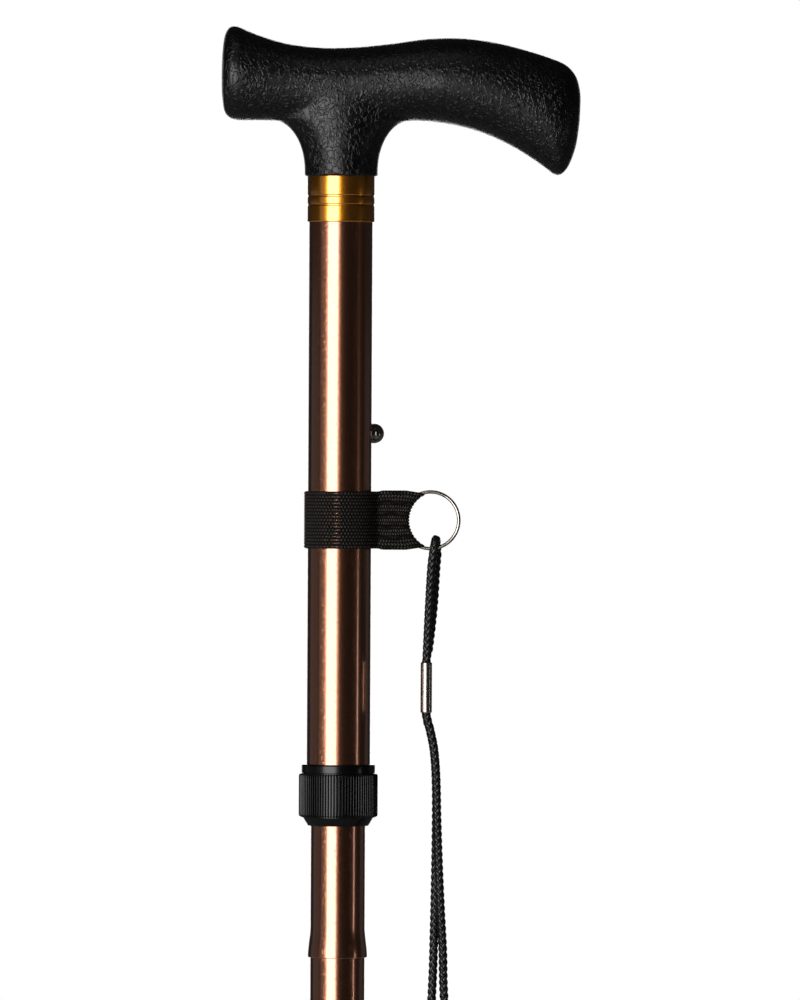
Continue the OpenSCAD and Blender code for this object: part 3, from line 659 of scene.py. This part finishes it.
# along and up at the top, along and up at the underside, and wide
gripShares = [(0.001, 0.750, 0.001, 0.540, 0.40), (0.003, 0.840, 0.004, 0.488, 0.62),
              (0.011, 0.950, 0.011, 0.412, 0.87), (0.035, 0.998, 0.040, 0.369, 1.00),
              (0.093, 0.944, 0.093, 0.367, 0.97), (0.177, 0.882, 0.177, 0.365, 0.93),
              (0.277, 0.854, 0.271, 0.362, 0.92), (0.377, 0.859, 0.366, 0.362, 0.93),
              (0.477, 0.884, 0.466, 0.365, 0.96), (0.575, 0.916, 0.555, 0.369, 1.00),
              (0.672, 0.920, 0.644, 0.344, 1.02), (0.769, 0.890, 0.733, 0.286, 1.00),
              (0.861, 0.834, 0.820, 0.189, 0.96), (0.931, 0.779, 0.892, 0.080, 0.91),
              (0.964, 0.738, 0.934, 0.011, 0.84), (0.987, 0.671, 0.964, 0.063, 0.68),
              (0.997, 0.591, 0.987, 0.203, 0.46), (1.000, 0.528, 0.997, 0.362, 0.22)]


def addRing(sides, spot, tilt, wide, deep):
    bpy.ops.mesh.primitive_circle_add(vertices=sides, radius=1, location=spot, rotation=(0, tilt, 0))
    bpy.context.object.scale = (wide * mm, deep * mm, 1)
    return bpy.context.object


def bridgeRings(rings):
    whole = joinPieces(rings)
    bpy.ops.object.transform_apply()
    openEdit(whole)
    bpy.ops.mesh.bridge_edge_loops()
    bpy.ops.mesh.select_all(action="DESELECT")
    bpy.ops.mesh.select_non_manifold()
    bpy.ops.mesh.fill_holes(sides=0)
    return closeEdit(whole)


def gripBar():
    length, back, height, width = grip["length"], grip["back"], grip["height"], grip["width"]
    rings = []
    for row in smoothLine(gripShares, grip["steps"]):
        top = Vector((row[0] * length - back, 0, levels["handle"] + row[1] * height))
        low = Vector((row[2] * length - back, 0, levels["handle"] + row[3] * height))
        half = (top - low) / 2
        tilt = math.atan2(-half.z, half.x)
        rings.append(addRing(grip["sides"], (top + low) / 2 * mm, tilt, half.length, row[4] * width / 2))
    return bridgeRings(rings)


def gripStem():
    radius, straight, plug = stem["radius"], stem["straight"], stem["plug"]
    steps = [(radius, radius, stem["low"]), (radius, radius, straight)]
    for k in range(1, arcSteps + 1):
        angle = math.radians(90) * k / arcSteps
        wide = radius + stem["spread"] * (1 - math.cos(angle))
        deep = radius + stem["deepen"] * math.sin(angle)
        steps.append((wide, deep, straight + stem["rise"] * math.sin(angle)))
    steps.append((plug, plug, stem["plugTop"]))
    rings = []
    for wide, deep, rise in steps:
        rings.append(addRing(stem["sides"], (0, 0, (levels["handle"] + rise) * mm), 0, wide, deep))
    return bridgeRings(rings)


def within(value):
    return min(1, max(0, value))


# the sides are smoothed where the stem runs into the grip
def blendStem(piece):
    zone = piece.vertex_groups.new(name="blend")
    for vertex in piece.data.vertices:
        rise, aside = vertex.co.z / mm - levels["handle"], abs(vertex.co.x / mm)
        weight = within((rise - blend["low"]) / blend["fade"])
        weight *= within((blend["high"] - rise) / blend["fade"])
        weight *= within((blend["reach"] - aside) / blend["reachFade"])
        zone.add([vertex.index], weight, "REPLACE")
    applyModifier(piece, "SMOOTH", factor=0.5, iterations=blend["rounds"], use_x=False, use_z=False,
                  vertex_group="blend")


# the stem is cut off level at the collar, and its lower edge rounded
def roundStem(piece):
    most = stem["round"]
    openEdit(piece)
    bpy.ops.mesh.bisect(plane_co=(0, 0, levels["handle"] * mm), plane_no=(0, 0, 1), use_fill=True,
                        clear_inner=True)
    for rise in stem["roundRows"]:
        bpy.ops.mesh.select_all(action="SELECT")
        bpy.ops.mesh.bisect(plane_co=(0, 0, (levels["handle"] + rise) * mm), plane_no=(0, 0, 1))
    bpy.ops.object.mode_set(mode="OBJECT")
    for vertex in piece.data.vertices:
        below = most - (vertex.co.z / mm - levels["handle"])
        if below > 0:
            inset = most - math.sqrt(most ** 2 - min(below, most) ** 2)
            vertex.co.xy *= 1 - inset / stem["radius"]


def handleGrip():
    piece, plug = gripBar(), gripStem()
    applyModifier(piece, "BOOLEAN", object=plug, operation="UNION", solver="EXACT")
    bpy.data.objects.remove(plug)
    piece.name = "handleGrip"
    applyModifier(piece, "REMESH", mode="VOXEL", voxel_size=blend["voxel"] * mm)
    applyModifier(piece, "SMOOTH", factor=0.5, iterations=12)
    blendStem(piece)
    roundStem(piece)
    cleaned(piece, 60)
    finishPiece(piece, "upper", "black_plastic", leather, "handle")


handleGrip()
print("handle made")

# strap: knit webbing as a sheet of ribbed rows, each row two lines of slanted stitches
weave = {"half": 9.8, "rows": 17, "stitch": 1.2, "relief": 0.4, "slant": 0.9, "perRow": 6, "step": 0.2,
         "roundness": 0.6, "edge": 0.5, "edgeDrop": 0.35, "edgeWave": 0.2}


def knit(along, across):
    row = (across / (2 * weave["half"]) + 0.5) * weave["rows"]
    part = row - math.floor(row)
    leg = abs(math.sin(math.pi * part)) ** weave["roundness"]
    phase = along / weave["stitch"] + weave["slant"] * abs(part - 0.5) + 0.5 * math.floor(row)
    return leg * (0.5 + 0.5 * math.cos(math.tau * phase))


# a sheet over a path in plan: place(t, across) gives the point, its outward side, the length run so far,
# how far the sheet puffs out there and the painted shade on its stitches
def webSheet(name, columns, place):
    rows, half, stitch = weave["rows"] * weave["perRow"], weave["half"], weave["stitch"]
    points, faces, places, loops = [], [], [], []
    for i in range(columns + 1):
        for k in range(rows + 1):
            across = (k / rows * 2 - 1) * half
            spot, side, along, puff, shade = place(i / columns, across)
            loop = knit(along, across)
            loops.append(loop * shade)
            edge = 1 - min(1, (half - abs(across)) / weave["edge"])
            lift = weave["relief"] * loop + puff - weave["edgeDrop"] * edge ** 2
            rim = math.copysign(weave["edgeWave"] * edge * math.cos(math.tau * along / stitch), across)
            points.append(spot + side * lift + Vector((0, 0, rim)))
            row = (across / half + 1) / 2 * weave["rows"]
            places.append((along / stitch + 0.5 * row - 0.25, row))
    for i in range(columns):
        for k in range(rows):
            a = i * (rows + 1) + k
            faces.append((a, a + rows + 1, a + rows + 2, a + 1))
    sheet = newPiece(name, points, [], faces)
    layer = sheet.data.uv_layers.new(name="weave")
    for loop in sheet.data.loops:
        layer.data[loop.index].uv = places[loop.vertex_index]
    # the relief attribute is each stitch's height times its painted shade; it darkens the colour in the gaps
    sheet.data.attributes.new("relief", "FLOAT", "POINT").data.foreach_set("value", loops)
    openEdit(sheet)
    bpy.ops.mesh.normals_make_consistent(inside=False)
    bpy.ops.object.mode_set(mode="OBJECT")
    return sheet


def thickened(sheet, thick):
    applyModifier(sheet, "SOLIDIFY", thickness=thick * mm, offset=-1)
    return cleaned(sheet, 60)


def planPath(points, steps):
    line = smoothLine([(x, y, 0) for x, y in points], steps)
    runs = [0]
    for a, b in zip(line, line[1:]):
        runs.append(runs[-1] + (b - a).length)
    return line, runs


def alongPath(line, runs, t):
    goal = t * runs[-1]
    i = 0
    while i < len(runs) - 2 and runs[i + 1] < goal:
        i += 1
    share = (goal - runs[i]) / (runs[i + 1] - runs[i])
    spot = line[i].lerp(line[i + 1], share)
    ahead = line[min(i + 2, len(line) - 1)] - line[max(i - 1, 0)]
    return spot, ahead.normalized(), goal


band = {"middle": 12.05, "open": 28, "every": 8, "steps": 6, "thick": 0.4}
bandLip = [(14.6, 0.8), (13.5, 0.85), (12.7, 1.5), (11.9, 2.8)]


def strapBand():
    corners = [(x, -y) for x, y in bandLip]
    for angle in range(-band["open"], band["open"] - 360, -band["every"]):
        turn = math.radians(angle)
        corners.append((band["middle"] * math.cos(turn), band["middle"] * math.sin(turn)))
    line, runs = planPath(corners + bandLip[::-1], band["steps"])

    def place(t, across):
        spot, ahead, along = alongPath(line, runs, t)
        side = Vector((-ahead.y, ahead.x, 0))
        return spot + Vector((0, 0, levels["strap"] + across)), side, along, 0, 1

    sheet = webSheet("strapBand", int(runs[-1] / weave["step"]), place)
    finishPiece(thickened(sheet, band["thick"]), "strap", "black_webbing", webbing, "strap_band")


ring = {"x": 31.65, "z": 671.7, "middle": 9.85, "wire": 0.65, "offset": 0.5, "turns": 2, "steps": 240,
        "first": 50, "gap": 8, "crossing": 14, "sides": 16}
tab = {"start": 13.5, "bendEnd": 16.8, "mouth": 1.45, "half": 2.5, "sink": 0.35, "rise": 2.2,
       "wideShare": 1.04, "taper": 0.12, "taperFrom": 0.55, "taperRun": 0.45, "root": 0.04, "rootEnds": 8,
       "wireReach": 8.9, "bendShare": 0.9, "flatShare": 0.9, "run": 36, "columns": 180, "thick": 0.45}
# dark and light set the painted shade on the tab's stitches: darker in the folds between the lobes
lobes = {"waves": 2.5, "wander": 0.3, "along": 21, "across": 0.4, "roundness": 0.6, "puff": 0.9,
         "sink": 0.2, "dark": 0.4, "light": 0.6}


# how full the doubled webbing is, in lobes that run along the tab
def tabLobe(t, across):
    wander = lobes["wander"] * math.sin(t * lobes["along"] + across * lobes["across"])
    turn = math.pi * (across / weave["half"] + 1) * lobes["waves"] + wander
    return abs(math.sin(turn)) ** lobes["roundness"]


# out along one side of the tab, round the ring's wire and back along the other
def tabPlace(t, across):
    near = min(1, min(t, 1 - t) * 2)
    taper = tab["taper"] * max(0, near - tab["taperFrom"]) / tab["taperRun"]
    height = across * (tab["wideShare"] - taper - tab["root"] * max(0, 1 - near * tab["rootEnds"]) ** 2)
    wire = ring["x"] - math.sqrt(ring["middle"] ** 2 - min(abs(height), tab["wireReach"]) ** 2)
    full, flat = tab["half"] - tab["sink"], wire - tab["start"]
    bend = math.pi * tab["half"] * tab["bendShare"]
    total = 2 * flat + bend
    run = t * total
    if flat < run < flat + bend:
        turn = (run - flat) / bend * math.pi - math.pi / 2
        side = Vector((math.cos(turn), math.sin(turn), 0))
        spot = Vector((wire, 0, 0)) + side * full
    else:
        sign = -1 if run < total / 2 else 1
        out = min(run, total - run)
        swell = min(1, out / tab["rise"])
        swell = swell * swell * (3 - 2 * swell)
        spot = Vector((tab["start"] + out, sign * (tab["mouth"] + (full - tab["mouth"]) * swell), 0))
        side = Vector((0, sign, 0))
    lobe = tabLobe(t, across)
    flatness = min(1, abs(run - total / 2) / (bend * tab["flatShare"]))
    puff = (lobes["puff"] * lobe - lobes["sink"]) * flatness
    # painted shade: the stitches are painted darker in the folds between the lobes
    shade = lobes["dark"] + lobes["light"] * lobe
    return spot + Vector((0, 0, ring["z"] + height)), side, t * tab["run"], puff, shade


def strapTab():
    sheet = thickened(webSheet("strapTab", tab["columns"], tabPlace), tab["thick"])
    finishPiece(sheet, None, "black_webbing", tabWebbingPaintedLighter, "strap_tab")
    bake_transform(sheet)


strapBand()
strapTab()
print("strap made")


# a round wire or cord along a path
def tubeAlong(name, path, radius, sides):
    curve = bpy.data.curves.new(name, "CURVE")
    curve.dimensions = "3D"
    curve.bevel_depth = radius * mm
    curve.bevel_resolution = max(1, sides // 4 - 1)
    curve.use_fill_caps = True
    spline = curve.splines.new("POLY")
    spline.points.add(len(path) - 1)
    for point, spot in zip(spline.points, path):
        point.co = (spot[0] * mm, spot[1] * mm, spot[2] * mm, 1)
    setActive(addObject(name, curve))
    bpy.ops.object.convert(target="MESH")
    return cleaned(bpy.context.object, 60)


# split ring: one wire wound twice, which crosses over halfway
def splitRing():
    first, gap = math.radians(ring["first"] + ring["gap"]), math.radians(2 * ring["gap"])
    path = []
    for k in range(ring["steps"] + 1):
        share = k / ring["steps"]
        angle = first + share * (ring["turns"] * math.tau - gap)
        shift = ring["offset"] * math.tanh((share - 0.5) * ring["crossing"])
        path.append((ring["x"] + ring["middle"] * math.cos(angle), shift,
                     ring["z"] + ring["middle"] * math.sin(angle)))
    wire = tubeAlong("splitRing", path, ring["wire"], ring["sides"])
    finishPiece(wire, "ring", "nickel", nickel, "split_ring")


splitRing()

# wrist cord: eight strands plaited two over, two under, round a core; the route is from the ring's middle
braid = {"pitch": 9.4, "centre": 0.95, "wave": 0.27, "wide": 0.62, "thick": 0.42, "core": 0.75,
         "step": 0.32, "each": 4, "lead": 0.4, "sides": 8, "smooth": 10}
cordRoute = [(-1.2, -1.6, -57.9), (-1.2, -1.6, -49.5), (-1, -1.9, -44), (-0.4, -2.4, -30), (0.3, -2.8, -17),
             (0.9, -3, -11.665), (1.5, -2.4, -7.865), (1.9, 0, -6.665), (2.1, 2.4, -7.865), (2.4, 3, -11.665),
             (2, 2.8, -17), (1.2, 2.4, -30), (-0.3, 1.9, -44), (-1.2, 1.6, -49.5), (-1.2, 1.6, -66.9),
             (0.2, 1.7, -73), (1.6, 1.7, -80), (2.3, 1.7, -89), (2.5, 1.6, -100), (2.4, 1.4, -115),
             (2.2, 1.1, -130), (1.9, 0.8, -145), (1.5, 0.5, -160), (0.4, 0.3, -180), (-2, 0.1, -202),
             (-4.6, 0, -219), (-4.6, 0, -230), (-1, 0, -237), (4, 0, -238), (9, 0, -234), (10.6, 0, -224),
             (9.4, -0.1, -208), (7, -0.2, -186), (5.4, -0.5, -164), (5, -0.8, -150), (4.2, -1.1, -136),
             (3.4, -1.4, -120), (2.8, -1.6, -104), (2.4, -1.7, -90), (1.6, -1.7, -80), (0.2, -1.7, -73),
             (-1.2, -1.6, -66.9), (-1.2, -1.6, -58.5)]


# points a step apart along the line
def evenly(line, step):
    result, left = [line[0]], step
    for a, b in zip(line, line[1:]):
        length = (b - a).length
        at = left
        while at < length:
            result.append(a.lerp(b, at / length))
            at += step
        left = at - length
    return result


# frames carried along the line without twist
def framesAlong(line):
    frames, normal = [], Vector((0, -1, 0))
    for i, spot in enumerate(line):
        ahead = (line[min(i + 1, len(line) - 1)] - line[max(i - 1, 0)]).normalized()
        normal = (normal - ahead * normal.dot(ahead)).normalized()
        frames.append((spot, normal, ahead.cross(normal)))
    return frames


def strandPath(frames, first, way):
    path = []
    for i, (spot, normal, across) in enumerate(frames):
        angle = first + way * math.tau * i * braid["step"] / braid["pitch"]
        radius = braid["centre"] + way * braid["wave"] * math.sin(2 * angle)
        out = normal * math.cos(angle) + across * math.sin(angle)
        path.append((spot + out * radius, out))
    return path


def strand(path):
    sides, last = braid["sides"], len(path) - 1
    points = []
    for i, (spot, out) in enumerate(path):
        ahead = (path[min(i + 1, last)][0] - path[max(i - 1, 0)][0]).normalized()
        wide = ahead.cross(out).normalized()
        wide, thick = wide * braid["wide"], out * braid["thick"]
        for k in range(sides):
            turn = math.tau * k / sides
            points.append(spot + wide * math.cos(turn) + thick * math.sin(turn))
    faces = gridFaces(last + 1, sides, closed=True)
    faces.append(tuple(range(sides))[::-1])
    faces.append(tuple(last * sides + k for k in range(sides)))
    return newPiece("strand", points, [], faces)


def wristCord():
    centre = Vector((ring["x"], 0, ring["z"]))
    line = [centre + p for p in evenly(smoothLine(cordRoute, braid["smooth"]), braid["step"])]
    frames = framesAlong(line)
    strands = []
    for k in range(braid["each"]):
        first = math.tau * k / braid["each"]
        strands.append(strand(strandPath(frames, first, 1)))
        strands.append(strand(strandPath(frames, first + braid["lead"], -1)))
    core = tubeAlong("core", line, braid["core"], braid["sides"])
    cord = joinPieces(strands + [core])
    cord.name = "wristCord"
    cleaned(cord, 60)
    finishPiece(cord, "lanyard", "black_cord", cordYarn, "wrist_cord")
    return cord, [p * mm for p in line]


# crimp: a short oval tube with rolled rims, each rim as growth and height from the tube's end
ferrule = {"x": 30.45, "low": 604.8, "high": 622.2, "wide": 2, "deep": 3.6, "sides": 64}
ferruleRim = [(-0.4, 0.4), (-0.3, 0.1), (-0.1, 0), (0, 0.15), (0, 0.5)]


def cordFerrule():
    sides, height = ferrule["sides"], ferrule["high"] - ferrule["low"]
    outline = ferruleRim + [(grow, height - z) for grow, z in reversed(ferruleRim)]
    deep = ferrule["deep"] - ferrule["wide"]
    points = []
    for grow, z in outline:
        wide = ferrule["wide"] + grow
        for k in range(sides):
            turn = math.tau * k / sides
            shift = deep if math.sin(turn) > 0 else -deep
            points.append((ferrule["x"] + wide * math.cos(turn), wide * math.sin(turn) + shift,
                           ferrule["low"] + z))
    faces = gridFaces(len(outline), sides, closed=True, looped=True)
    piece = cleaned(newPiece("cordFerrule", points, [], faces), 50)
    return finishPiece(piece, "lanyard", "nickel", nickel, "cord_ferrule")


cordPiece, cordLine = wristCord()
ferrulePiece = cordFerrule()

# materials on the CAD nodes that stay
kept = {"clamp_ring": greyPlastic, "tube_glide": greyPlastic, "cord_anchor": greyPlastic,
        "elastic_cord": cordYarn, "section_2_insert": bareMetal, "section_3_insert": bareMetal,
        "section_4_insert": bareMetal, "cord_end_plug": greyPlastic, "tip_washer": gunmetal}
for name, material in kept.items():
    setMaterial(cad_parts[name], material)

# light, in metres: three boxes at the front left for the broad highlight, weaker ones all round;
# each has its azimuth, height, distance, width, own height and power
middle = 0.69
lamps = {"keyCore": (-27, middle, 2.2, 1.5, 1.5, 40), "keyBox": (-27, middle, 2.25, 2.1, 1.6, 12),
         "keyGlow": (-44, middle, 2.3, 2.9, 1.6, 3), "leftCard": (-104, 0.3, 1.5, 1.2, 0.95, 0.4),
         "rightStrip": (72, 0.3, 2, 0.05, 0.62, 0.7), "rightCard": (116, 0.3, 1.5, 0.9, 0.9, 0.15),
         "topBox": (-20, 2.4, 1, 1.2, 1.2, 2.5), "backBox": (180, middle, 2.4, 0.6, 1.6, 8)}


# a lamp looks level at the shaft, but the one above looks down at its middle
def softBox(name, azimuth, height, distance, wide, tall, power):
    data = bpy.data.lights.new(name, "AREA")
    data.shape = "RECTANGLE"
    data.size = wide
    data.size_y = tall
    data.energy = power
    lamp = addObject(name, data)
    turn = math.radians(azimuth)
    lamp.location = (distance * math.sin(turn), -distance * math.cos(turn), height)
    aim = Vector((0, 0, min(height, middle))) - lamp.location
    lamp.rotation_euler = aim.to_track_quat("-Z", "Y").to_euler()
    lamp.visible_camera = False


for name, settings in lamps.items():
    softBox(name, *settings)


# rays that the eye sees by, straight or through something clear
def seenRays(tree):
    path = addNode(tree, "LightPath")
    seen = addNode(tree, "Math", operation="MAXIMUM")
    link(path, "Is Camera Ray", seen, 0)
    link(path, "Is Transmission Ray", seen, 1)
    return seen


# floor: pale, below the pulled-out sections, and white to the eye away from the shadow
floorSizes = {"wide": 5, "drop": 0.28, "near": 0.15, "far": 1.2, "glow": 0.78}


def addFloor():
    bpy.ops.mesh.primitive_plane_add(size=floorSizes["wide"], location=(0, 0, -floorSizes["drop"]))
    floor = bpy.context.object
    floor.name = "floor"
    material, tree, shader = newMaterial("pale floor", "#b4b4b4", 0.9, 0, Specular_IOR_Level=0)
    seen = seenRays(tree)
    away = addNode(tree, "VectorMath", operation="LENGTH")
    fade = addNode(tree, "MapRange", From_Min=floorSizes["near"], From_Max=floorSizes["far"],
                   To_Min=floorSizes["glow"], To_Max=1)
    strength = addNode(tree, "Math", operation="MULTIPLY")
    glow = addNode(tree, "Emission")
    both = addNode(tree, "AddShader")
    link(addNode(tree, "TexCoord"), "Object", away, 0)
    link(away, "Value", fade, "Value")
    link(seen, "Value", strength, 0)
    link(fade, "Result", strength, 1)
    link(strength, "Value", glow, "Strength")
    link(shader, "BSDF", both, 0)
    link(glow, "Emission", both, 1)
    link(both, "Shader", tree.nodes["Material Output"], "Surface")
    floor.data.materials.append(material)


addFloor()

# white for the eye, and in reflections as far as a backdrop panel reaches; a dim room elsewhere
backdrop = {"edge": 0.94, "full": 0.97, "room": 0.024}


def addWorld():
    scene = bpy.context.scene
    scene.world = bpy.data.worlds.new("studio")
    scene.world.use_nodes = True
    tree = scene.world.node_tree
    tree.nodes.clear()
    place = addNode(tree, "TexCoord")
    path = addNode(tree, "LightPath")
    seen = seenRays(tree)
    axes = addNode(tree, "SeparateXYZ")
    panel = addNode(tree, "MapRange", From_Min=backdrop["edge"], From_Max=backdrop["full"])
    mirrored = addNode(tree, "Math", operation="MULTIPLY")
    total = addNode(tree, "Math", operation="MAXIMUM")
    room = addNode(tree, "Background", Color=linear("#ffffff"), Strength=backdrop["room"])
    white = addNode(tree, "Background", Color=linear("#ffffff"), Strength=1)
    mix = addNode(tree, "MixShader")
    output = addNode(tree, "OutputWorld")
    link(place, "Generated", axes, "Vector")
    link(axes, "Y", panel, "Value")
    link(panel, "Result", mirrored, 0)
    link(path, "Is Glossy Ray", mirrored, 1)
    link(seen, "Value", total, 0)
    link(mirrored, "Value", total, 1)
    link(total, "Value", mix, "Fac")
    link(room, "Background", mix, 1)
    link(white, "Background", mix, 2)
    link(mix, "Shader", output, "Surface")


addWorld()
bpy.context.scene.view_settings.view_transform = "Standard"
print("light made")

# camera: far off and nearly level, with a slight roll
camera = {"distance": 3.3, "aim": (0.021, 0, 0.6787), "height": 0.703, "lens": 341.4, "sensor": 36,
          "reach": 50, "roll": 0.28}


def addCamera():
    data = bpy.data.cameras.new("camera")
    data.lens = camera["lens"]
    data.sensor_width = camera["sensor"]
    data.clip_end = camera["reach"]
    eye = addObject("camera", data)
    aim = Vector(camera["aim"])
    eye.location = (aim.x, -camera["distance"], camera["height"])
    look = (aim - eye.location).to_track_quat("-Z", "Y").to_matrix().to_4x4()
    roll = Matrix.Rotation(math.radians(camera["roll"]), 4, "Z")
    eye.matrix_world = Matrix.Translation(eye.location) @ look @ roll
    bpy.context.scene.camera = eye


addCamera()
print("camera made")
